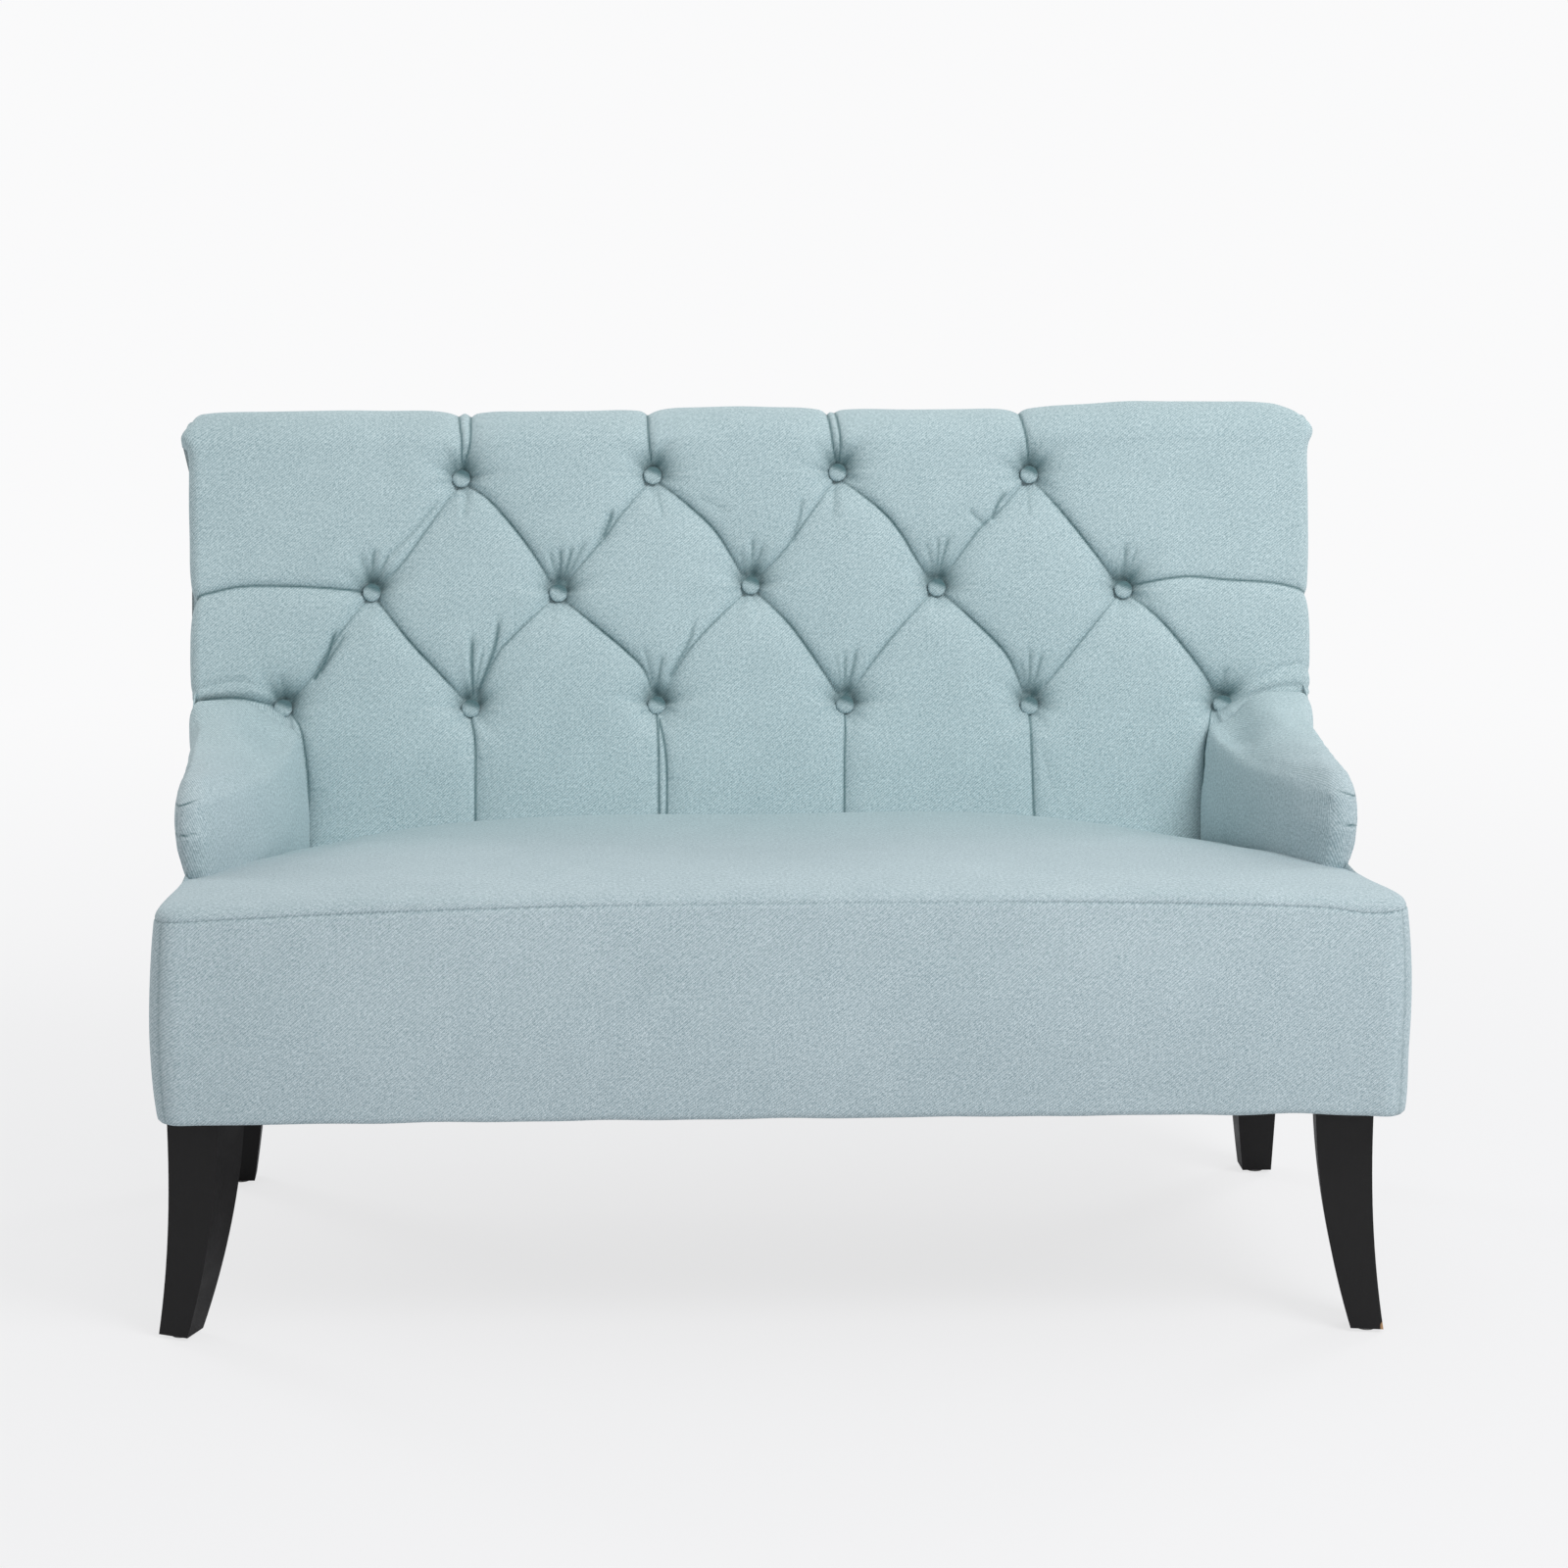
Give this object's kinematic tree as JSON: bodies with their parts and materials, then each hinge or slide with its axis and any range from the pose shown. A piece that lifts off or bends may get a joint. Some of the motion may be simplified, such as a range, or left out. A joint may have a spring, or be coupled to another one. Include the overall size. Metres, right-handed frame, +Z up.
{
  "type": "settee",
  "caption": "Armed settee with a buttoned, diamond-tufted scroll back, low swept arms, a tight sprung seat and tapered sabre legs.",
  "frame": {"origin": "on the floor under the middle of the settee: middle of the width, middle of the overall depth", "axes": "+X to the right of someone who faces the settee, +Y from the seat's front towards the back, +Z up"},
  "size_m": [1.2816, 0.7088, 0.8817],
  "materials": {
    "hardwood": "matte",
    "plywood": "matte",
    "black_legs": "satin",
    "zinc_steel": "satin",
    "spring_steel": "satin",
    "grey_glides": "matte",
    "black_cambric": "matte",
    "deck_cloth": "matte",
    "wadding": "matte",
    "foam": "matte",
    "blue_fabric": "matte",
    "card": "matte",
    "twine": "matte"
  },
  "bodies": {
    "root": {"apron_front_cover": "blue_fabric", "apron_side_cover_left": "blue_fabric", "apron_side_cover_right": "blue_fabric", "arm_foam_left": "foam", "arm_foam_right": "foam", "back_foam": "foam", "back_lower_rails": "hardwood", "back_middle_rails": "hardwood", "back_posts": "hardwood", "back_rail_screws": "zinc_steel", "back_side_cover_left": "blue_fabric", "back_side_cover_right": "blue_fabric", "back_side_padding_left": "wadding", "back_side_padding_right": "wadding", "corner_blocks": "hardwood", "dust_cover": "black_cambric", "dust_cover_staples": "zinc_steel", "foot_glides": "grey_glides", "inside_arm_cover_left": "blue_fabric", "inside_arm_cover_right": "blue_fabric", "inside_back_cover": "blue_fabric", "leg_front_left": "black_legs", "leg_front_right": "black_legs", "leg_hanger_bolts": "zinc_steel", "leg_rear_left": "black_legs", "leg_rear_right": "black_legs", "leg_threaded_inserts": "zinc_steel", "outside_arm_cover_left": "blue_fabric", "outside_arm_cover_right": "blue_fabric", "outside_back_card": "card", "outside_back_cover": "blue_fabric", "rail_wadding": "wadding", "scroll_batten": "hardwood", "scroll_end_left": "blue_fabric", "scroll_end_right": "blue_fabric", "seat_back_rail": "hardwood", "seat_centre_stretcher": "hardwood", "seat_deck_cloth": "deck_cloth", "seat_foam": "foam", "seat_front_rail": "hardwood", "seat_side_rail_left": "hardwood", "seat_side_rail_right": "hardwood", "seat_top_cover": "blue_fabric", "side_dowels": "hardwood", "side_panel_left": "plywood", "side_panel_right": "plywood", "spring_clips": "zinc_steel", "tufting_board": "plywood", "tufting_buttons": "blue_fabric", "tufting_twines": "twine", "twine_toggles": "grey_glides", "zigzag_springs": "spring_steel"}
  },
  "joints": []
}
